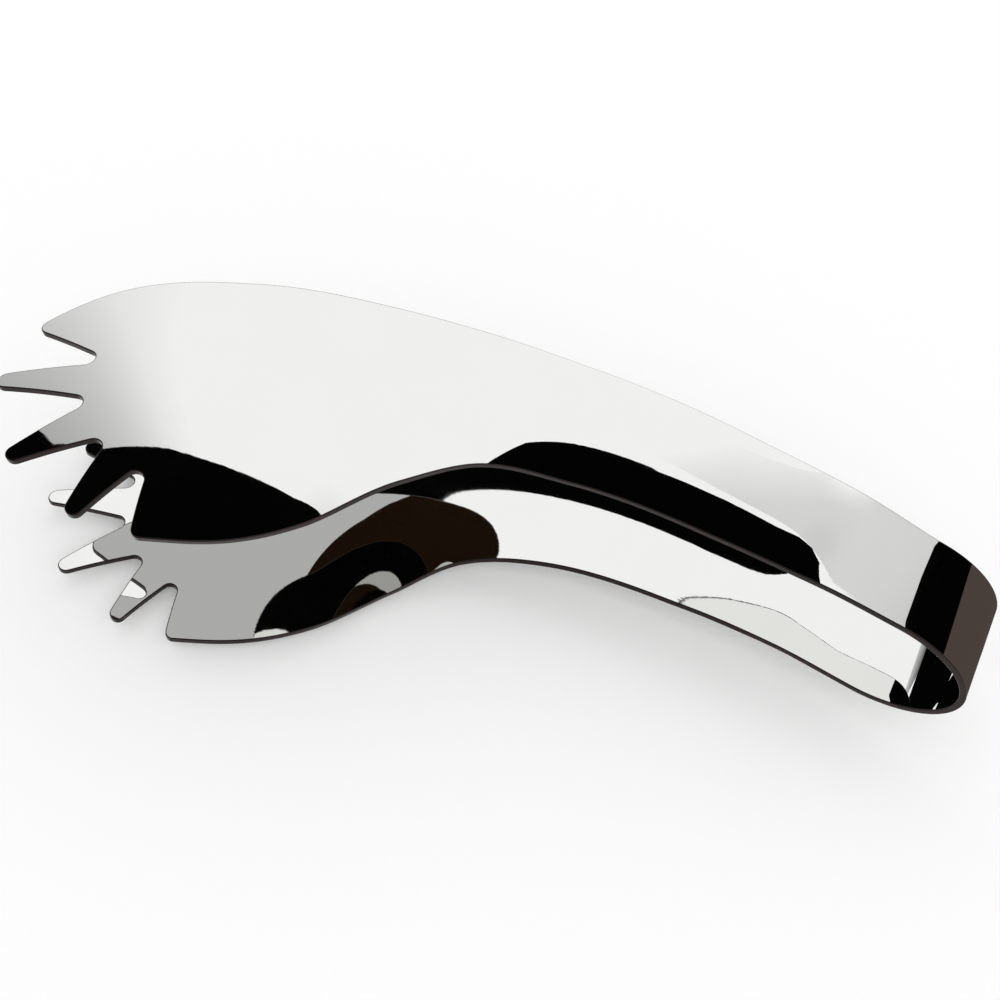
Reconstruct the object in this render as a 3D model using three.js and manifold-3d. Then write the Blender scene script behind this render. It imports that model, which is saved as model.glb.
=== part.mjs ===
// Relish tongs: one polished strip of sheet steel, folded at the bow into two arms that end in
// broad fork heads. Millimetres, +Z up. The bow's axis runs along Y, the arms leave it towards -X
// and sweep round towards -Y. The upper and lower arm are mirror images.
import * as THREE from 'three';
import { mergeVertices } from 'three/addons/utils/BufferGeometryUtils.js';
import Module from 'manifold-3d';

const wasm = await Module();
wasm.setup();

// Sheet and bow
const SHEET = 1.2;              // thickness of the steel
const BOW_DEPTH = 16.4;         // from the start of the arms to the outside end of the bow
const BOW_HALF_HEIGHT = 12.0;   // from the middle plane to the outside of the arms, at the bow
const FLEX_ANGLE = 45;          // how far round the bow, from its end, the strip flexes, in degrees
const FLEX_GAP = 0.3;           // clearance between the bow and each arm at the flex line

// Arms: a centre line that runs straight from the bow and then bends round one arc, seen from above
const ARM_LENGTH = 161.7;       // along the centre line, from the bow to the end of the middle tine
const STRAIGHT_RUN = 28;
const SWEEP_RADIUS = 113;
const HEAD_WIDTH = 56;          // across the fork head at its widest
const HEAD_RISE = 7;            // how much further the head stands from the middle plane than the bow does
const CROWN_RADIUS = 72;        // the strap's crown across, where it is sharpest
const NECK_LEAN = 2.5;          // how far the sheet leans across, from belly to back, at the neck, in degrees

// Shape of the arm at stations along it. Each value is a share of a size above: the place along the arm
// of ARM_LENGTH, how far the outside has risen of HEAD_RISE, how far the back edge (outside the sweep)
// and the belly edge (inside it) lie from the centre line of HEAD_WIDTH, the crown of 1 / CROWN_RADIUS,
// the lean of NECK_LEAN's slope
const STATION_SHARES = [
  { at: 0, rise: 0, back: 0.185, belly: 0.185, crown: 0, lean: 0 },
  { at: 0.075, rise: 0, back: 0.21, belly: 0.19, crown: 0, lean: 0 },
  { at: 0.135, rise: 0.07, back: 0.218, belly: 0.207, crown: 0.61, lean: 0.32 },
  { at: 0.225, rise: 0.19, back: 0.209, belly: 0.237, crown: 0.89, lean: 0.75 },
  { at: 0.395, rise: 0.47, back: 0.226, belly: 0.257, crown: 1, lean: 0.62 },
  { at: 0.505, rise: 0.68, back: 0.264, belly: 0.286, crown: 0.41, lean: 0.96 },
  { at: 0.605, rise: 0.86, back: 0.318, belly: 0.399, crown: 0, lean: 1 },
  { at: 0.73, rise: 0.95, back: 0.422, belly: 0.512, crown: 0.08, lean: 0.11 },
  { at: 0.855, rise: 1.03, back: 0.482, belly: 0.489, crown: 0.27, lean: -0.07 },
  { at: 1.015, rise: 0.78, back: 0.33, belly: 0.279, crown: 0.19, lean: 0.36 },
];

// Fork head: rounded tine tips and notch roots, by how far their centres stop short of the arm's end
// and how far out from the centre line they are
const TIP_RADIUS = 1.5;
const ROOT_RADIUS = 1.5;
const MIDDLE_TIP = { short: TIP_RADIUS, out: 0 };
const BACK_SIDE_TIP = { short: 5.4, out: 0.263 * HEAD_WIDTH };
const BELLY_SIDE_TIP = { short: 5.4, out: 0.248 * HEAD_WIDTH };
const INNER_ROOT = { short: 12.2, out: 0.088 * HEAD_WIDTH };
const OUTER_ROOT = { short: 16.4, out: 0.239 * HEAD_WIDTH };
// Where the head's two side edges round into their corner tines, and the tine next to each corner
const BACK_CORNER = { edge: 'back', short: 13.6, radius: 1.7, sideTip: BACK_SIDE_TIP };
const BELLY_CORNER = { edge: 'belly', short: 13.0, radius: 1.4, sideTip: BELLY_SIDE_TIP };

// Fineness of the faceted faces
const BOW_STEPS = 8;            // rows round each 45 degrees of the bow
const ROW_LENGTH = 4;           // length of one row along an arm
const COLUMNS = 10;             // columns across an arm
const ARC_STEPS = 6;            // straight pieces in each rounded tip or root
const EDGE_STEP = 3;            // length of one straight piece of the head's side edges

const MID_DEPTH = BOW_DEPTH - SHEET / 2;
const MID_HEIGHT = BOW_HALF_HEIGHT - SHEET / 2;
const STATIONS = STATION_SHARES.map(({ at, rise, back, belly, crown, lean }) => ({
  at: at * ARM_LENGTH,
  rise: rise * HEAD_RISE,
  back: back * HEAD_WIDTH,
  belly: belly * HEAD_WIDTH,
  crown: crown / CROWN_RADIUS,
  lean: lean * Math.tan(THREE.MathUtils.degToRad(NECK_LEAN)),
}));
const HEAD_FROM = STATIONS[6].at;   // where the head's outline starts to be cut from a wider sheet
const SHEET_END = ARM_LENGTH + TIP_RADIUS;

// The centre line from above: where it is after a length along it, and which way it heads there
function centreLine(along) {
  const turned = Math.max(along - STRAIGHT_RUN, 0) / SWEEP_RADIUS;
  return {
    x: -Math.min(along, STRAIGHT_RUN) - SWEEP_RADIUS * Math.sin(turned),
    y: SWEEP_RADIUS * (Math.cos(turned) - 1),
    heading: turned,
  };
}

// The slope of a value at a station: level beside a flat stretch, else from the neighbours on both sides
function slopeAt(index, key) {
  const here = STATIONS[index];
  const before = STATIONS[Math.max(index - 1, 0)];
  const after = STATIONS[Math.min(index + 1, STATIONS.length - 1)];
  const isInside = before !== here && after !== here;
  if (isInside && (after[key] === here[key] || here[key] === before[key])) {
    return 0;
  }
  return (after[key] - before[key]) / (after.at - before.at);
}

// A value read smoothly between the stations
function between(key, along) {
  let index = STATIONS.findIndex((station) => station.at > along) - 1;
  if (index < 0) {
    index = along < 0 ? 0 : STATIONS.length - 2;
  }
  const start = STATIONS[index];
  const end = STATIONS[index + 1];
  const length = end.at - start.at;
  const t = (along - start.at) / length;
  const startPart = (2 * t ** 3 - 3 * t ** 2 + 1) * start[key];
  const endPart = (3 * t ** 2 - 2 * t ** 3) * end[key];
  const startSlope = (t ** 3 - 2 * t ** 2 + t) * length * slopeAt(index, key);
  const endSlope = (t ** 3 - t ** 2) * length * slopeAt(index + 1, key);
  return startPart + endPart + startSlope + endSlope;
}

// A place in plan, from its distance along the centre line and out to its side
function planPoint(along, out) {
  const { x, y, heading } = centreLine(along);
  return new THREE.Vector2(x - out * Math.sin(heading), y + out * Math.cos(heading));
}

// The middle of the sheet's thickness on the upper arm
function sheetPoint(along, out) {
  const plan = planPoint(along, out);
  const drop = between('lean', along) * out + (between('crown', along) * out * out) / 2;
  return new THREE.Vector3(plan.x, plan.y, MID_HEIGHT + between('rise', along) - drop);
}

// The way the upper arm's outside faces
function sheetNormal(along, out) {
  const nudge = 0.01;
  const lengthways = sheetPoint(along + nudge, out).sub(sheetPoint(along, out));
  const sideways = sheetPoint(along, out + nudge).sub(sheetPoint(along, out));
  return sideways.cross(lengthways).normalize();
}

// One row of places across the sheet on an arm
function armRow(along) {
  const spare = Math.min(1.5 * Math.max(along - HEAD_FROM, 0), HEAD_WIDTH / 2);
  const back = between('back', Math.min(along, HEAD_FROM)) + spare;
  const belly = between('belly', Math.min(along, HEAD_FROM)) + spare;
  return Array.from({ length: COLUMNS + 1 }, (_, column) => {
    const out = ((back + belly) * column) / COLUMNS - belly;
    return { point: sheetPoint(along, out), normal: sheetNormal(along, out) };
  });
}

// One row of places across the bow, at an angle from its end
function bowRow(degrees, columns) {
  const angle = THREE.MathUtils.degToRad(degrees);
  const { back, belly } = STATIONS[0];
  const facing = new THREE.Vector3(Math.cos(angle) / MID_DEPTH, 0, Math.sin(angle) / MID_HEIGHT);
  return Array.from({ length: columns + 1 }, (_, column) => ({
    point: new THREE.Vector3(
      MID_DEPTH * Math.cos(angle),
      ((back + belly) * column) / columns - belly,
      MID_HEIGHT * Math.sin(angle),
    ),
    normal: facing.clone().normalize(),
  }));
}

// A closed body of the sheet's thickness from rows of places
function sheetBody(rows) {
  const columns = rows[0].length;
  const positions = [];
  for (const side of [0.5, -0.5]) {
    for (const row of rows) {
      for (const { point, normal } of row) {
        positions.push(...point.clone().addScaledVector(normal, side * SHEET).toArray());
      }
    }
  }
  const layer = rows.length * columns;
  const indices = [];
  const quad = (a, b, c, d) => indices.push(a, b, c, a, c, d);
  for (let row = 0; row + 1 < rows.length; row += 1) {
    for (let column = 0; column + 1 < columns; column += 1) {
      const here = row * columns + column;
      const next = here + columns;
      quad(here, here + 1, next + 1, next);
      quad(layer + here, layer + next, layer + next + 1, layer + here + 1);
    }
    const start = row * columns;
    const end = start + columns - 1;
    quad(start, start + columns, layer + start + columns, layer + start);
    quad(end, layer + end, layer + end + columns, end + columns);
  }
  const last = (rows.length - 1) * columns;
  for (let column = 0; column + 1 < columns; column += 1) {
    quad(column, layer + column, layer + column + 1, column + 1);
    quad(last + column, last + column + 1, layer + last + column + 1, layer + last + column);
  }
  const body = new THREE.BufferGeometry();
  body.setAttribute('position', new THREE.Float32BufferAttribute(positions, 3));
  body.setIndex(indices);
  return body;
}

// The ends of the straight edge between a rounded tip and a rounded root, which bend opposite ways
function edgeBetween(from, to, turn) {
  const apart = Math.hypot(to.at - from.at, to.out - from.out);
  const towards = Math.atan2(to.out - from.out, to.at - from.at);
  return towards + turn * Math.acos((from.radius + to.radius) / apart);
}

// Points round a tip or root, from one angle to another
function roundOff(circle, startAngle, endAngle) {
  return Array.from({ length: ARC_STEPS + 1 }, (_, step) => {
    const angle = startAngle + ((endAngle - startAngle) * step) / ARC_STEPS;
    return [circle.at + circle.radius * Math.cos(angle), circle.out + circle.radius * Math.sin(angle)];
  });
}

// One half of the fork head's outline, from the head's side edge to its middle tine
function halfHeadOutline({ edge, short, radius, sideTip }) {
  const outline = [];
  const turnsAt = ARM_LENGTH - short;
  const edgeSteps = Math.round((turnsAt - HEAD_FROM) / EDGE_STEP);
  for (let step = 0; step < edgeSteps; step += 1) {
    const along = HEAD_FROM + ((turnsAt - HEAD_FROM) * step) / edgeSteps;
    outline.push([along, between(edge, along)]);
  }
  const nudge = 0.01;
  const sideSlope = (between(edge, turnsAt + nudge) - between(edge, turnsAt)) / nudge;
  const facing = Math.atan2(1, -sideSlope);
  const corner = {
    at: turnsAt - radius * Math.cos(facing),
    out: between(edge, turnsAt) - radius * Math.sin(facing),
    radius,
  };
  const rounded = ({ short: shortBy, out }, roundRadius) => ({
    at: ARM_LENGTH - shortBy,
    out,
    radius: roundRadius,
  });
  const chain = [
    corner,
    rounded(OUTER_ROOT, ROOT_RADIUS),
    rounded(sideTip, TIP_RADIUS),
    rounded(INNER_ROOT, ROOT_RADIUS),
    rounded(MIDDLE_TIP, TIP_RADIUS),
  ];
  let arrive = facing;
  chain.forEach((circle, index) => {
    const isTip = index % 2 === 0;
    const isLast = index === chain.length - 1;
    let leave = 0;
    if (!isLast) {
      leave = edgeBetween(circle, chain[index + 1], isTip ? 1 : -1);
    }
    const sweep = isTip
      ? -THREE.MathUtils.euclideanModulo(arrive - leave, 2 * Math.PI)
      : THREE.MathUtils.euclideanModulo(leave - arrive, 2 * Math.PI);
    outline.push(...roundOff(circle, arrive, arrive + sweep));
    arrive = arrive + sweep + Math.PI;
  });
  return outline;
}

// An upright block whose plan is the fork head's outline, wide open behind the head
function headCutter() {
  const half = halfHeadOutline(BACK_CORNER);
  const otherHalf = halfHeadOutline(BELLY_CORNER).slice(0, -1).reverse();
  const mirrored = otherHalf.map(([along, out]) => [along, -out]);
  const clear = HEAD_WIDTH;
  const behind = -BOW_DEPTH - 20;
  const wide = [[HEAD_FROM, -clear], [behind, -clear], [behind, clear], [HEAD_FROM, clear]];
  const plan = [...half, ...mirrored, ...wide].map(([along, out]) => planPoint(along, out));
  const block = new THREE.ExtrudeGeometry(new THREE.Shape(plan), {
    depth: 2 * BOW_HALF_HEIGHT + HEAD_WIDTH,
    bevelEnabled: false,
    curveSegments: 1,
  });
  return block.translate(0, 0, -BOW_HALF_HEIGHT);
}

function toManifold(geometry) {
  const bare = geometry.clone();
  bare.deleteAttribute('normal');
  bare.deleteAttribute('uv');
  const merged = mergeVertices(bare, 1e-5);
  return new wasm.Manifold(new wasm.Mesh({
    numProp: 3,
    vertProperties: new Float32Array(merged.attributes.position.array),
    triVerts: new Uint32Array(merged.index.array),
  }));
}

function toGeometry(solid) {
  const mesh = solid.getMesh();
  const geometry = new THREE.BufferGeometry();
  geometry.setAttribute('position', new THREE.BufferAttribute(new Float32Array(mesh.vertProperties), 3));
  geometry.setIndex(new THREE.BufferAttribute(new Uint32Array(mesh.triVerts), 1));
  return geometry;
}

// The mirror image below the middle plane, with its faces turned to point outwards again
function mirrorDown(geometry) {
  const copy = geometry.clone();
  copy.scale(1, 1, -1);
  const index = copy.index.array;
  for (let corner = 0; corner < index.length; corner += 3) {
    [index[corner + 1], index[corner + 2]] = [index[corner + 2], index[corner + 1]];
  }
  return copy;
}

// The bow and the arms stop half the clearance short of the flex line, measured round the bow
const flex = THREE.MathUtils.degToRad(FLEX_ANGLE);
const roundTheBow = Math.hypot(MID_DEPTH * Math.sin(flex), MID_HEIGHT * Math.cos(flex));
const gapAngle = THREE.MathUtils.radToDeg(FLEX_GAP / 2 / roundTheBow);

function springBow() {
  const rows = [];
  const limit = FLEX_ANGLE - gapAngle;
  for (let step = -BOW_STEPS; step <= BOW_STEPS; step += 1) {
    rows.push(bowRow((limit * step) / BOW_STEPS, 4));
  }
  return sheetBody(rows);
}

function upperArm() {
  const rows = [];
  const start = FLEX_ANGLE + gapAngle;
  for (let step = 0; step < BOW_STEPS; step += 1) {
    rows.push(bowRow(start + ((90 - start) * step) / BOW_STEPS, COLUMNS));
  }
  const strapRows = Math.round(HEAD_FROM / ROW_LENGTH);
  for (let row = 0; row < strapRows; row += 1) {
    rows.push(armRow((HEAD_FROM * row) / strapRows));
  }
  const headRows = Math.round((SHEET_END - HEAD_FROM) / ROW_LENGTH);
  for (let row = 0; row <= headRows; row += 1) {
    rows.push(armRow(HEAD_FROM + ((SHEET_END - HEAD_FROM) * row) / headRows));
  }
  return toGeometry(toManifold(sheetBody(rows)).intersect(toManifold(headCutter())));
}

const upper = upperArm();
const shapes = {
  spring_bow: springBow(),
  upper_arm: upper,
  lower_arm: mirrorDown(upper),
};

const tongs = new THREE.Group();
tongs.name = 'relish_tongs';
for (const [name, shape] of Object.entries(shapes)) {
  const finish = new THREE.MeshStandardMaterial({ color: 0xd2d2cf, roughness: 0.12, metalness: 1 });
  finish.name = 'polished_stainless';
  const mesh = new THREE.Mesh(shape, finish);
  mesh.name = name;
  tongs.add(mesh);
}

// The origin is the middle of the underside of the box round the whole part
const box = new THREE.Box3().setFromObject(tongs);
const middle = box.getCenter(new THREE.Vector3());
for (const mesh of tongs.children) {
  mesh.geometry.translate(-middle.x, -middle.y, -box.min.z);
  mesh.geometry.computeVertexNormals();
}

export default tongs;
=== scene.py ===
# Relish tongs: the mirror-polished strip as two smooth halves that meet at the end of the bow.
# Shapes are worked out in millimetres from the start of the arms, at the bow, on the middle plane,
# and placed in the frame in metres.
import math

import bpy
import numpy as np
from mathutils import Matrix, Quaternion, Vector
from mathutils.geometry import delaunay_2d_cdt
from mathutils.kdtree import KDTree


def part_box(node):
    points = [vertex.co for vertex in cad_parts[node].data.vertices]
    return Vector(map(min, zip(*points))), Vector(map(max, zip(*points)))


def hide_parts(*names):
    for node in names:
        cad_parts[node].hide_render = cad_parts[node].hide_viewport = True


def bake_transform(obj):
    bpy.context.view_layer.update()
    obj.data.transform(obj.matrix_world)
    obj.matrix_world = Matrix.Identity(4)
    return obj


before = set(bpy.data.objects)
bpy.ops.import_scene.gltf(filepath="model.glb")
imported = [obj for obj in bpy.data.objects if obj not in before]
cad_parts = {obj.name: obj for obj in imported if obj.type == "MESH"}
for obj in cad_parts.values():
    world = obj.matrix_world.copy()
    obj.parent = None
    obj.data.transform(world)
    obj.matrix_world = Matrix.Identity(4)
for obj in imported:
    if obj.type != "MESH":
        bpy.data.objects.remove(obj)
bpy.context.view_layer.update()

MM = 0.001

# Sheet and bow
SHEET = 1.2                  # thickness of the steel
BOW_DEPTH = 16.4             # from the start of the arms to the outside end of the bow
BOW_HALF_HEIGHT = 12.0       # from the middle plane to the outside of the arms, at the bow
EDGE_ROUND = 0.2             # rounding of the sheet's edges

# Arms: a centre line that runs straight from the bow and then bends round one arc, seen from above
ARM_LENGTH = 161.7           # along the centre line, from the bow to the end of the middle tine
STRAIGHT_RUN = 28.0
SWEEP_RADIUS = 113.0
HEAD_WIDTH = 56.0            # across the fork head at its widest
HEAD_RISE = 7.0              # how much further the head stands from the middle plane than the bow does
CROWN_RADIUS = 72.0          # the strap's crown across, where it is sharpest
NECK_LEAN = 2.5              # how far the sheet leans across, from belly to back, at the neck, in degrees

# Shape of the arm at stations along it, as shares of the sizes above: the place along the arm of
# ARM_LENGTH, the rise of HEAD_RISE, the back edge (outside the sweep) and the belly edge (inside it)
# of HEAD_WIDTH, the crown of 1 / CROWN_RADIUS, and the lean of NECK_LEAN's slope
STATIONS = {
    "at": [0, 0.075, 0.135, 0.225, 0.395, 0.505, 0.605, 0.73, 0.855, 1.015],
    "rise": [0, 0, 0.07, 0.19, 0.47, 0.68, 0.86, 0.95, 1.03, 0.78],
    "back": [0.185, 0.21, 0.218, 0.209, 0.226, 0.264, 0.318, 0.422, 0.482, 0.33],
    "belly": [0.185, 0.19, 0.207, 0.237, 0.257, 0.286, 0.399, 0.512, 0.489, 0.279],
    "crown": [0, 0, 0.61, 0.89, 1, 0.41, 0, 0.08, 0.27, 0.19],
    "lean": [0, 0, 0.32, 0.75, 0.62, 0.96, 1, 0.11, -0.07, 0.36],
}
STATION_UNIT = {
    "rise": HEAD_RISE,
    "back": HEAD_WIDTH,
    "belly": HEAD_WIDTH,
    "crown": 1 / CROWN_RADIUS,
    "lean": math.tan(math.radians(NECK_LEAN)),
}
STATION_AT = np.array(STATIONS["at"]) * ARM_LENGTH

# Fork head: rounded tine tips and notch roots, by how far their centres stop short of the arm's end
# and how far out from the centre line they are
TIP_RADIUS = 1.5
ROOT_RADIUS = 1.5
MIDDLE_TIP = (TIP_RADIUS, 0)
SIDE_TIP = {"back": (5.4, 0.263 * HEAD_WIDTH), "belly": (5.4, 0.248 * HEAD_WIDTH)}
INNER_ROOT = (12.2, 0.088 * HEAD_WIDTH)
OUTER_ROOT = (16.4, 0.239 * HEAD_WIDTH)
# Where the head's side edges round into their corner tines: how far short of the end, and the radius
CORNERS = {"back": (13.6, 1.7), "belly": (13.0, 1.4)}

# Fineness of the meshes
EDGE_STEP = 0.8              # along the outline
FACE_STEP = 1.4              # between points inside the faces
ROW_STEP = FACE_STEP * 0.87  # between the rows of those points, for nearly even triangles
STAGGER = 0.25               # how far the rows are moved to one side or the other, of a step
EDGE_CLEARANCE = FACE_STEP / 2   # how far those points keep from the outline
ARC_STEPS = 12               # round each tip and root
ROUND_STEPS = 4              # round each side of an edge
SAME_PLACE = 0.02            # points of the outline that are closer than this count as one
NUDGE = 0.01                 # the step over which slopes are read
INSIDE_ONLY = 1              # the kind of triangulation that leaves out what is outside the outline
TOUCHING = 1e-6              # how close the triangulation takes two points to be one

# Steel: colours, roughness at the glossiest and the dullest places, and strength of the hairlines
POLISHED_COLOUR = (0.88, 0.88, 0.865)
POLISHED_ROUGHNESS = (0.008, 0.03)
POLISHED_HAIRLINES = 0.05
# The edges' near-black colour is a painted dark reflection: the polished edges would show their
# surroundings, and this colour stands in for the dark they reflect
EDGE_PAINTED_DARK_COLOUR = (0.035, 0.026, 0.023)
EDGE_ROUGHNESS = (0.20, 0.32)
EDGE_HAIRLINES = 0.3
HAIRLINE_COUNT = (60, 1800, 1800)   # along, across and through the strip, per metre
HAIRLINE_DEPTH = 0.00001     # in metres
MARK_COUNT = 55.0            # wiping marks per metre
MARK_TONE = 0.97             # how dark the darkest marks are, of the steel's colour
POLISHED_SLOT = 0            # the materials' places in each half
EDGE_SLOT = 1

# Studio, in metres and degrees: a floor, a ceiling, and cards on walls, of which the nearer hide the rest
FLOOR_REACH = 6.0            # from the middle of the floor to its sides
FLOOR_DROP = 0.0002          # how far the floor is below the cards that lie on it
FRONT_LAYER = 20.0
SECOND_LAYER = 21.0
THIRD_LAYER = 22.0
BACK_LAYER = 24.0
CEILING_HEIGHT = 20.0
WALL_AZIMUTH = 118.6         # the way to the white wall that the upper outside reflects
WALL_TOP = 60.1              # elevation where the white wall ends and the black ceiling starts
WALL_TOP_LEFT = 55.4         # the same at the ceiling's left end, where it dips
CEILING_NEAR = 81.0          # elevation where the ceiling ends at its right, short of overhead
CEILING_NEAR_LEFT = 92.0     # elevation where it ends at its left, a little past overhead
CEILING_LEFT = -0.80         # the ceiling's ends to the side, and where it starts to dip, of its height
CEILING_DIP = -0.47
CEILING_RIGHT = 0.37
PATCH_BACK = 15              # how far the close card is behind the strap's centre line, in millimetres
BLACK = (0.001, 0.001, 0.001)
BROWN_GREY = (0.075, 0.056, 0.05)
DARK_BROWN = (0.012, 0.006, 0.003)
WHITE = (1, 1, 1)

# Camera: its place from the start of the arms, and how it is turned, in degrees
CAMERA_AT = (-33.069, -117.917, 150.466)
CAMERA_AZIMUTH = 20.826
CAMERA_DROP = 55.236
CAMERA_ROLL = 12.541
LENS = 36
SENSOR = 36
CLIP_START = 0.005           # in metres

MID_DEPTH = BOW_DEPTH - SHEET / 2
MID_HEIGHT = BOW_HALF_HEIGHT - SHEET / 2
# Length of the strip round one half of the bow, by which places on the bow are counted as negative
BOW_LENGTH = math.pi / 2 * math.sqrt((MID_DEPTH ** 2 + MID_HEIGHT ** 2) / 2)
# The frame's place for the start of the arms on the middle plane
bow_low, bow_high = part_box("spring_bow")
START = Vector((
    bow_high.x / MM - BOW_DEPTH,
    (bow_low.y + bow_high.y) / 2 / MM,
    (bow_low.z + bow_high.z) / 2 / MM,
))


# The strip's surface

def read(key, along):
    """A station value, read smoothly at places along the arm."""
    values = np.array(STATIONS[key], float) * STATION_UNIT[key]
    count = len(values)
    slopes = np.zeros(count)
    for index in range(count):
        before = max(index - 1, 0)
        after = min(index + 1, count - 1)
        slopes[index] = (values[after] - values[before]) / (STATION_AT[after] - STATION_AT[before])
        is_inside = 0 < index < count - 1
        if is_inside and (values[after] == values[index] or values[index] == values[before]):
            slopes[index] = 0
    along = np.asarray(along, float)
    start = np.clip(np.searchsorted(STATION_AT, along, side="right") - 1, 0, count - 2)
    length = STATION_AT[start + 1] - STATION_AT[start]
    t = (along - STATION_AT[start]) / length
    return (
        (2 * t ** 3 - 3 * t ** 2 + 1) * values[start]
        + (3 * t ** 2 - 2 * t ** 3) * values[start + 1]
        + (t ** 3 - 2 * t ** 2 + t) * length * slopes[start]
        + (t ** 3 - t ** 2) * length * slopes[start + 1]
    )


def sheet_points(along, out):
    """Places on the middle of the upper half's thickness; along is negative on the bow."""
    along, out = np.broadcast_arrays(np.asarray(along, float), np.asarray(out, float))
    on_arm = np.maximum(along, 0)
    turned = np.maximum(on_arm - STRAIGHT_RUN, 0) / SWEEP_RADIUS
    x = -np.minimum(on_arm, STRAIGHT_RUN) - (SWEEP_RADIUS + out) * np.sin(turned)
    y = (SWEEP_RADIUS + out) * np.cos(turned) - SWEEP_RADIUS
    drop = read("lean", on_arm) * out + read("crown", on_arm) * out ** 2 / 2
    arm = np.stack([x, y, MID_HEIGHT + read("rise", on_arm) - drop], axis=-1)
    angle = math.pi / 2 * (1 + np.minimum(along, 0) / BOW_LENGTH)
    bow = np.stack([MID_DEPTH * np.cos(angle), out, MID_HEIGHT * np.sin(angle)], axis=-1)
    return np.where((along < 0)[..., None], bow, arm)


def unit(vectors):
    return vectors / np.linalg.norm(vectors, axis=-1, keepdims=True)


def sheet_normals(along, out):
    """The way the outside faces."""
    along, out = np.broadcast_arrays(np.asarray(along, float), np.asarray(out, float))
    # Stay on one side of the line where the bow meets the arm
    low = np.where(along < 0, along - NUDGE, np.maximum(along - NUDGE, 0))
    high = np.where(along < 0, np.minimum(along + NUDGE, 0), along + NUDGE)
    lengthways = sheet_points(high, out) - sheet_points(low, out)
    sideways = sheet_points(along, out + NUDGE) - sheet_points(along, out - NUDGE)
    return unit(np.cross(sideways, lengthways))


# The strip's outline, laid flat as places along the strip and out from its centre line

def arc(centre, radius, start_angle, end_angle):
    angles = np.linspace(start_angle, end_angle, ARC_STEPS + 1)
    return [(centre[0] + radius * math.cos(a), centre[1] + radius * math.sin(a)) for a in angles]


def half_head(edge):
    """One half of the fork head's outline, from where its side edge turns to its middle tine."""
    short, corner_radius = CORNERS[edge]
    turns_at = ARM_LENGTH - short
    slope = (read(edge, turns_at + NUDGE) - read(edge, turns_at)) / NUDGE
    facing = math.atan2(1, -slope)
    corner = (
        turns_at - corner_radius * math.cos(facing),
        read(edge, turns_at) - corner_radius * math.sin(facing),
    )
    rounds = [(corner, corner_radius)]
    places = [
        (OUTER_ROOT, ROOT_RADIUS),
        (SIDE_TIP[edge], TIP_RADIUS),
        (INNER_ROOT, ROOT_RADIUS),
        (MIDDLE_TIP, TIP_RADIUS),
    ]
    rounds += [((ARM_LENGTH - short_by, out), radius) for (short_by, out), radius in places]
    outline = []
    arrive = facing
    for index, (centre, radius) in enumerate(rounds):
        is_tip = index % 2 == 0
        leave = 0.0
        if index + 1 < len(rounds):
            (next_along, next_out), next_radius = rounds[index + 1]
            apart = math.hypot(next_along - centre[0], next_out - centre[1])
            towards = math.atan2(next_out - centre[1], next_along - centre[0])
            lean = math.acos((radius + next_radius) / apart)
            leave = towards + lean if is_tip else towards - lean
        sweep = -((arrive - leave) % (2 * math.pi)) if is_tip else (leave - arrive) % (2 * math.pi)
        outline += arc(centre, radius, arrive, arrive + sweep)
        arrive += sweep + math.pi
    return outline


def side_edge(edge):
    """The long side edge, from the bow's end to where the head's outline takes over."""
    end = ARM_LENGTH - CORNERS[edge][0]
    on_bow = np.linspace(-BOW_LENGTH, 0, round(BOW_LENGTH / EDGE_STEP), endpoint=False)
    on_arm = np.linspace(0, end, round(end / EDGE_STEP), endpoint=False)
    along = np.concatenate([on_bow, on_arm])
    return list(zip(along, read(edge, np.maximum(along, 0))))


def even_out(points):
    """The points without those that fall on the one before, and with long straight stretches divided."""
    kept = [points[0]]
    for along, out in points[1:]:
        start = kept[-1]
        gap = math.hypot(along - start[0], out - start[1])
        if gap < SAME_PLACE:
            continue
        steps = math.ceil(gap / EDGE_STEP)
        for step in range(1, steps + 1):
            share = step / steps
            kept.append((start[0] + (along - start[0]) * share, start[1] + (out - start[1]) * share))
    return kept


def strip_outline():
    """One half's whole edge: up the back edge from the bow's end, and down the belly edge."""
    back = side_edge("back") + half_head("back")
    belly = side_edge("belly") + half_head("belly")
    mirrored = [(along, -out) for along, out in reversed(belly)]
    return np.array(even_out(back + mirrored))


def inside_points(loop):
    """A staggered grid of places inside a closed loop, clear of its edge."""
    tree = KDTree(len(loop))
    for index, (along, out) in enumerate(loop):
        tree.insert((along, out, 0), index)
    tree.balance()
    rows = np.arange(loop[:, 0].min() + FACE_STEP, loop[:, 0].max(), ROW_STEP)
    starts = loop
    ends = np.roll(loop, -1, axis=0)
    found = []
    for row, along in enumerate(rows):
        crosses = (starts[:, 0] > along) != (ends[:, 0] > along)
        share = (along - starts[crosses, 0]) / (ends[crosses, 0] - starts[crosses, 0])
        cuts = np.sort(starts[crosses, 1] + share * (ends[crosses, 1] - starts[crosses, 1]))
        for low, high in zip(cuts[::2], cuts[1::2]):
            count = max(round((high - low) / FACE_STEP), 1)
            moved = STAGGER if row % 2 else -STAGGER
            for out in low + (high - low) * (np.arange(count) + 0.5 + moved) / count:
                if tree.find((along, out, 0))[2] > EDGE_CLEARANCE:
                    found.append((along, out))
    return np.array(found)


# The strip's two halves

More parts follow.
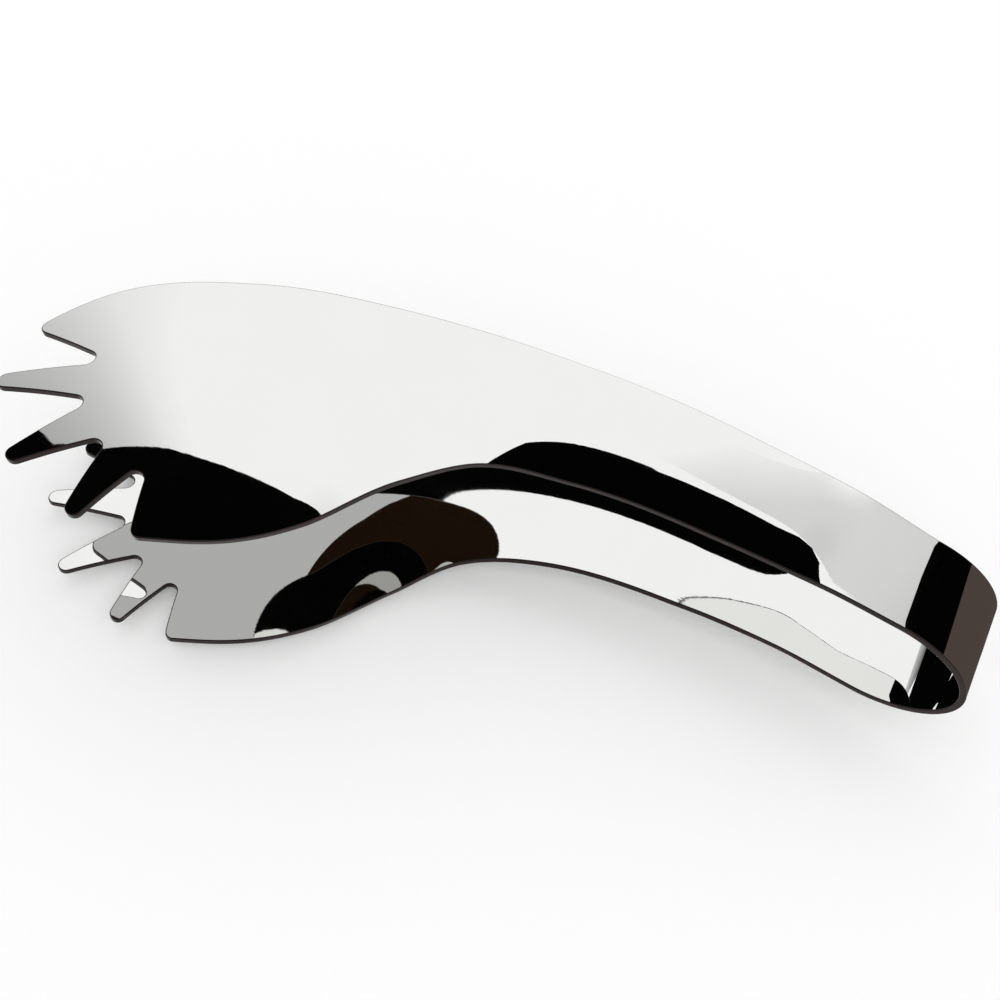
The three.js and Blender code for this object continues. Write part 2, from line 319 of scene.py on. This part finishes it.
def flat_sheet(edge):
    """A flat face inside the edge's rounding: its places, its triangles, and the length of its loop.

    The loop comes first among the places, and in it the edge's own places, and then the bow's end.
    """
    tangents = np.gradient(edge, axis=0)
    across = unit(np.stack([-tangents[:, 1], tangents[:, 0]], axis=-1))
    inset = edge - across * EDGE_ROUND
    inset[[0, -1], 0] = -BOW_LENGTH
    end_width = inset[0, 1] - inset[-1, 1]
    end_outs = np.linspace(inset[-1, 1], inset[0, 1], round(end_width / FACE_STEP) + 1)[1:-1]
    bow_end = np.stack([np.full(len(end_outs), -BOW_LENGTH), end_outs], axis=-1)
    loop = np.concatenate([inset, bow_end])
    places = np.concatenate([loop, inside_points(loop)])
    corners = [Vector(place) for place in places]
    result = delaunay_2d_cdt(corners, [], [list(range(len(loop)))], INSIDE_ONLY, TOUCHING)
    origin = [ids[0] for ids in result[3]]
    triangles = [[origin[corner] for corner in face] for face in result[2]]
    return places, triangles, len(loop)


def rim(edge, inset):
    """The edge on the middle of the thickness: its places, how the outside faces, and the way out."""
    middle = sheet_points(edge[:, 0], edge[:, 1])
    normals = sheet_normals(edge[:, 0], edge[:, 1])
    way_out = unit(np.cross(np.gradient(middle, axis=0), normals))
    outwards = middle - sheet_points(inset[:, 0], inset[:, 1])
    if np.sum(way_out * outwards) < 0:
        way_out = -way_out
    return middle, normals, way_out


def closed_faces(triangles, ring_start, rim_count, loop_count):
    """The faces of a closed sheet and their materials, by where each ring of its points starts."""
    inside_start = ring_start[-1]
    faces = []
    slots = []
    for a, b, c in triangles:
        faces += [(a, c, b), (inside_start + a, inside_start + b, inside_start + c)]
        slots += [POLISHED_SLOT, POLISHED_SLOT]
    for first, second in zip(ring_start, ring_start[1:]):
        for step in range(rim_count - 1):
            faces.append((first + step, first + step + 1, second + step + 1, second + step))
            slots.append(EDGE_SLOT)
    # The cut at the bow's end, where the two halves meet
    end_ids = [rim_count - 1, *range(rim_count, loop_count), 0]
    for a, b in zip(end_ids, end_ids[1:]):
        faces.append((a, b, inside_start + b, inside_start + a))
        slots.append(POLISHED_SLOT)
    for corner in (0, rim_count - 1):
        rings = [start + corner for start in ring_start]
        for step in range(len(rings) // 2 - 1):
            faces.append((rings[step], rings[step + 1], rings[-2 - step], rings[-1 - step]))
            slots.append(EDGE_SLOT)
    return faces, slots


def smooth_piece(name, points, facing, faces, slots):
    """A new object in the scene, smooth, with the given way to face at each point."""
    mesh = bpy.data.meshes.new(name)
    mesh.from_pydata(points.tolist(), [], faces)
    mesh.polygons.foreach_set("material_index", slots)
    mesh.validate()
    piece = bpy.data.objects.new(name, mesh)
    bpy.context.scene.collection.objects.link(piece)
    bpy.context.view_layer.objects.active = piece
    piece.select_set(True)
    bpy.ops.object.mode_set(mode="EDIT")
    bpy.ops.mesh.select_all(action="SELECT")
    bpy.ops.mesh.normals_make_consistent(inside=False)
    bpy.ops.object.mode_set(mode="OBJECT")
    piece.select_set(False)
    mesh.polygons.foreach_set("use_smooth", [True] * len(mesh.polygons))
    mesh.normals_split_custom_set_from_vertices(facing.tolist())
    return piece


def strip_half(name, mirror):
    """One half of the strip as a closed sheet with rounded edges; mirror turns it to the lower half."""
    edge = strip_outline()
    rim_count = len(edge)
    places, triangles, loop_count = flat_sheet(edge)
    rim_middle, rim_normals, way_out = rim(edge, places[:rim_count])
    middle = sheet_points(places[:, 0], places[:, 1])
    normals = sheet_normals(places[:, 0], places[:, 1])
    middle[:rim_count] = rim_middle - way_out * EDGE_ROUND
    normals[:rim_count] = rim_normals

    # Outside face, then the rings of the edge from outside to inside, then the inside face
    half_sheet = SHEET / 2
    points = [middle + normals * half_sheet]
    facing = [normals]
    turns = np.linspace(0, math.pi / 2, ROUND_STEPS + 1)[1:]
    profile = [(turn, 1) for turn in turns] + [(turn, -1) for turn in turns[::-1]]
    for turn, side in profile:
        in_by = EDGE_ROUND * (1 - math.sin(turn))
        up_by = side * (half_sheet - EDGE_ROUND * (1 - math.cos(turn)))
        points.append(rim_middle - way_out * in_by + rim_normals * up_by)
        facing.append(unit(way_out * math.sin(turn) + rim_normals * side * math.cos(turn)))
    points.append(middle - normals * half_sheet)
    facing.append(-normals)
    ring_start = [0] + [len(places) + ring * rim_count for ring in range(len(profile) + 1)]
    faces, slots = closed_faces(triangles, ring_start, rim_count, loop_count)

    points = np.concatenate(points)
    facing = np.concatenate(facing)
    if mirror:
        points[:, 2] *= -1
        facing[:, 2] *= -1
    return smooth_piece(name, (points + np.array(START)) * MM, facing, faces, slots)


# Steel

def add_node(tree, kind, **inputs):
    """A new shader node with some of its inputs set, by their names with _ for a space."""
    made = tree.nodes.new(kind)
    for key, value in inputs.items():
        made.inputs[key.replace("_", " ")].default_value = value
    return made


def steel(name, colour, roughness, hairlines):
    """Polished stainless steel: wiping marks that vary the gloss, and hairlines along the strip."""
    material = bpy.data.materials.new(name)
    material.use_nodes = True
    tree = material.node_tree
    link = tree.links.new
    shader = tree.nodes["Principled BSDF"]
    shader.inputs["Metallic"].default_value = 1.0
    place = tree.nodes.new("ShaderNodeTexCoord")

    marks = add_node(tree, "ShaderNodeTexNoise", Scale=MARK_COUNT, Detail=4.0, Roughness=0.6)
    link(place.outputs["Object"], marks.inputs["Vector"])
    gloss = add_node(tree, "ShaderNodeMapRange", From_Min=0.35, From_Max=0.75)
    gloss.inputs["To Min"].default_value = roughness[0]
    gloss.inputs["To Max"].default_value = roughness[1]
    link(marks.outputs["Fac"], gloss.inputs["Value"])
    link(gloss.outputs["Result"], shader.inputs["Roughness"])
    tone = tree.nodes.new("ShaderNodeValToRGB")
    tone.color_ramp.elements[0].color = (*[MARK_TONE * part for part in colour], 1)
    tone.color_ramp.elements[1].color = (*colour, 1)
    link(marks.outputs["Fac"], tone.inputs["Fac"])
    link(tone.outputs["Color"], shader.inputs["Base Color"])

    stretch = tree.nodes.new("ShaderNodeMapping")
    stretch.inputs["Scale"].default_value = HAIRLINE_COUNT
    link(place.outputs["Object"], stretch.inputs["Vector"])
    hairs = add_node(tree, "ShaderNodeTexNoise", Scale=1.0, Detail=2.0)
    link(stretch.outputs["Vector"], hairs.inputs["Vector"])
    raised = add_node(tree, "ShaderNodeBump", Strength=hairlines, Distance=HAIRLINE_DEPTH)
    link(hairs.outputs["Fac"], raised.inputs["Height"])
    link(raised.outputs["Normal"], shader.inputs["Normal"])
    return material


polished = steel("polished_stainless", POLISHED_COLOUR, POLISHED_ROUGHNESS, POLISHED_HAIRLINES)
# The edge material carries a painted dark reflection in its near-black colour; the edges are the same
# polished steel as the faces
edge_steel_painted_dark = steel("stainless_edge_painted_dark", EDGE_PAINTED_DARK_COLOUR, EDGE_ROUGHNESS, EDGE_HAIRLINES)

for body in ("upper", "lower"):
    half = strip_half(f"{body}_half", mirror=body == "lower")
    half.data.materials.append(polished)
    half.data.materials.append(edge_steel_painted_dark)
    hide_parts(f"{body}_arm", "spring_bow")
    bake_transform(half)


# Studio: an even white room and floor, with cards that only the polished steel reflects. The cards on
# the walls and the ceiling are far off, placed by the azimuth and elevation at which the object sees
# them. Those on the floor and the one close to the strap are placed in millimetres from START.

def emission(name, tones):
    """A glowing surface whose tone runs through tones, evenly spaced along the card's first side."""
    material = bpy.data.materials.new(name)
    material.use_nodes = True
    tree = material.node_tree
    tree.nodes.remove(tree.nodes["Principled BSDF"])
    glow = add_node(tree, "ShaderNodeEmission", Color=(*tones[0], 1), Strength=1.0)
    tree.links.new(glow.outputs["Emission"], tree.nodes["Material Output"].inputs["Surface"])
    if len(tones) > 1:
        place = tree.nodes.new("ShaderNodeUVMap")
        split = tree.nodes.new("ShaderNodeSeparateXYZ")
        ramp = tree.nodes.new("ShaderNodeValToRGB")
        stops = ramp.color_ramp.elements
        while len(stops) < len(tones):
            stops.new(0.5)
        for index, tone in enumerate(tones):
            stops[index].position = index / (len(tones) - 1)
            stops[index].color = (*tone, 1)
        tree.links.new(place.outputs["UV"], split.inputs["Vector"])
        tree.links.new(split.outputs["X"], ramp.inputs["Fac"])
        tree.links.new(ramp.outputs["Color"], glow.inputs["Color"])
    return material


def card(name, corners, *tones):
    """A flat card that only reflections see; its tone changes from its first corner to its second."""
    mesh = bpy.data.meshes.new(name)
    mesh.from_pydata([tuple(corner) for corner in corners], [], [tuple(range(len(corners)))])
    uvs = mesh.uv_layers.new(name="along")
    along = corners[1] - corners[0]
    for corner, spot in zip(corners, uvs.data):
        spot.uv = ((corner - corners[0]).dot(along) / along.length_squared, 0)
    mesh.materials.append(emission(name, tones))
    made = bpy.data.objects.new(name, mesh)
    bpy.context.scene.collection.objects.link(made)
    made.visible_camera = False
    made.visible_diffuse = False
    made.visible_shadow = False


def heading(azimuth):
    return Vector((math.cos(math.radians(azimuth)), math.sin(math.radians(azimuth)), 0))


def ceiling_corner(elevation, beside):
    """A place on the ceiling, by its elevation straight ahead and how far right it is, of the height."""
    ahead = heading(WALL_AZIMUTH) / math.tan(math.radians(elevation))
    return (ahead + heading(WALL_AZIMUTH - 90) * beside + Vector((0, 0, 1))) * CEILING_HEIGHT


def wall_card(name, middle, distance, places, *tones):
    """A card on an upright wall that faces the object from the azimuth in middle."""
    corners = []
    for azimuth, elevation in places:
        turned = math.radians(azimuth - middle)
        sideways = heading(middle + 90) * math.tan(turned)
        height = math.tan(math.radians(elevation)) / math.cos(turned)
        corners.append((heading(middle) + sideways + Vector((0, 0, height))) * distance)
    card(name, corners, *tones)


def near(x, y, z):
    """A place beside the object, in millimetres from the start of the arms on the middle plane."""
    return (START + Vector((x, y, z))) * MM


def floor_card(name, places, *tones):
    card(name, [near(x, y, -START.z) for x, y in places], *tones)


def greys(*levels):
    return [(level, level, level) for level in levels]


card("ceiling", [
    ceiling_corner(WALL_TOP_LEFT, CEILING_LEFT),
    ceiling_corner(WALL_TOP, CEILING_DIP),
    ceiling_corner(WALL_TOP, CEILING_RIGHT),
    ceiling_corner(CEILING_NEAR, CEILING_RIGHT),
    ceiling_corner(CEILING_NEAR_LEFT, CEILING_LEFT),
], BLACK)

# The black patch on the strap's outside: a card close behind it, by its places along the strap and up
patch_places = [
    (-67.5, 62), (-62, 57), (-55, 52.7), (-47, 49.3), (-40, 45.2), (-31, 41.7), (-21, 40.1),
    (-16, 38), (-12.5, 38.3), (-10.4, 41), (-9.8, 47), (-14, 62), (-22, 140), (-70, 140),
]
card("strap_back", [near(x, PATCH_BACK, z) for x, z in patch_places], BLACK)

# What the bow's outside reflects: black above, brown-grey below, down to the floor beside it
right_places = [
    (74.4, 45.6), (73.6, 48), (70.5, 50.2), (62, 50), (52, 45), (44, 38), (38, 30),
    (34, 23.5), (41, 24), (48, 26.4), (57, 36), (66, 41.8),
]
wall_card("right_wall", 55, FRONT_LAYER, right_places, BLACK)
right_low_places = [(50, -1), (32, -1), (32, 25), (50, 30)]
wall_card("right_low_wall", 41, THIRD_LAYER, right_low_places, BROWN_GREY)
right_floor_places = [(28, 4), (22000, 13500), (19500, 22000), (25, 34)]
floor_card("right_floor", right_floor_places, BROWN_GREY)

# What the bow's inside reflects, down to the floor behind the strap
back_low_places = [(132, -1), (148, -1), (148, 31.5), (132, 31.5)]
wall_card("back_low_wall", 140, FRONT_LAYER, back_low_places, BLACK)
low_end_places = [(137.5, 31), (137.5, 37), (126, 37), (126, 31)]
wall_card("wall_low_end", 130, SECOND_LAYER, low_end_places, *greys(0.08, 0.25, 0.42, 0.6))
back_floor_places = [
    (-20, 29), (-27, 28), (-39, 29), (-23000, 14500), (-18500, 20500), (-39, 46), (-20, 34),
]
floor_card("back_floor", back_floor_places, BLACK)

# White behind the strap, so that its inside stays bright next to the bow
strap_floor_places = [(8, 22), (-41, 22), (-41, 28.5), (-27, 27.8), (-20, 29), (-20, 34), (8, 34)]
floor_card("strap_floor", strap_floor_places, WHITE)

# What the lower arm shows of the floor, by way of the upper arm's inside
neck_floor_places = [(-119, 16), (-119, -4), (-123, -16), (-97, -16), (-97, 16)]
floor_card("neck_floor", neck_floor_places, DARK_BROWN)
head_floor_places = [
    (-119, -4), (-119, 6), (-129, 6), (-162, -24), (-159, -38), (-145, -38), (-123, -16),
]
floor_card("head_floor", head_floor_places, *greys(0.53))

# The white wall dims towards both ends
left_end_places = [(138, 31), (170, 31), (170, 60), (138, 60)]
wall_card("wall_left_end", 154, THIRD_LAYER, left_end_places, *greys(1.0, 0.9, 0.65, 0.45, 0.4))
right_end_places = [(88, 33), (72, 33), (72, 44), (68, 49), (69, 51), (88, 51)]
wall_card("wall_right_end", 80, BACK_LAYER, right_end_places, *greys(1.0, 0.86, 0.75, 0.73, 0.65))
# Its dark left edge, at the height where one tine's end reflects it
left_edge_places = [(162, 46), (168, 46), (168, 51), (162, 51)]
wall_card("wall_left_edge", 165, FRONT_LAYER, left_edge_places, BLACK)

# Grey behind the viewer, which gives the steel its tone from the other sides
front_places = [(210, -1), (330, -1), (330, 35), (210, 35)]
wall_card("front_wall", 270, FRONT_LAYER, front_places, *greys(0.75, 0.4, 0.25, 0.4, 0.75))

floor_sides = [(-1, -1), (1, -1), (1, 1), (-1, 1)]
floor_places = [(x * FLOOR_REACH, y * FLOOR_REACH, 0) for x, y in floor_sides]
floor_mesh = bpy.data.meshes.new("floor")
floor_mesh.from_pydata(floor_places, [], [(0, 1, 2, 3)])
floor = bpy.data.objects.new("floor", floor_mesh)
floor.location.z = -FLOOR_DROP
bpy.context.scene.collection.objects.link(floor)
floor_material = bpy.data.materials.new("floor")
floor_material.use_nodes = True
floor_shader = floor_material.node_tree.nodes["Principled BSDF"]
floor_shader.inputs["Base Color"].default_value = (*WHITE, 1)
floor_shader.inputs["Roughness"].default_value = 1.0
floor_shader.inputs["Specular IOR Level"].default_value = 0.0
floor_mesh.materials.append(floor_material)

world = bpy.data.worlds.new("studio")
bpy.context.scene.world = world
world.use_nodes = True
sky = world.node_tree.nodes["Background"]
sky.inputs["Color"].default_value = (*WHITE, 1)
sky.inputs["Strength"].default_value = 1.0

# Camera at the photograph's viewing angle
camera_data = bpy.data.cameras.new("camera")
camera_data.lens = LENS
camera_data.sensor_width = SENSOR
camera_data.clip_start = CLIP_START
camera = bpy.data.objects.new("camera", camera_data)
bpy.context.scene.collection.objects.link(camera)
turn = math.radians(CAMERA_AZIMUTH)
drop = math.radians(CAMERA_DROP)
forward = Vector((-math.sin(turn) * math.cos(drop), math.cos(turn) * math.cos(drop), -math.sin(drop)))
roll = Quaternion((0, 0, 1), math.radians(CAMERA_ROLL))
camera.location = near(*CAMERA_AT)
camera.rotation_mode = "QUATERNION"
camera.rotation_quaternion = forward.to_track_quat("-Z", "Y") @ roll
bpy.context.scene.camera = camera
bpy.context.scene.view_settings.view_transform = "Standard"
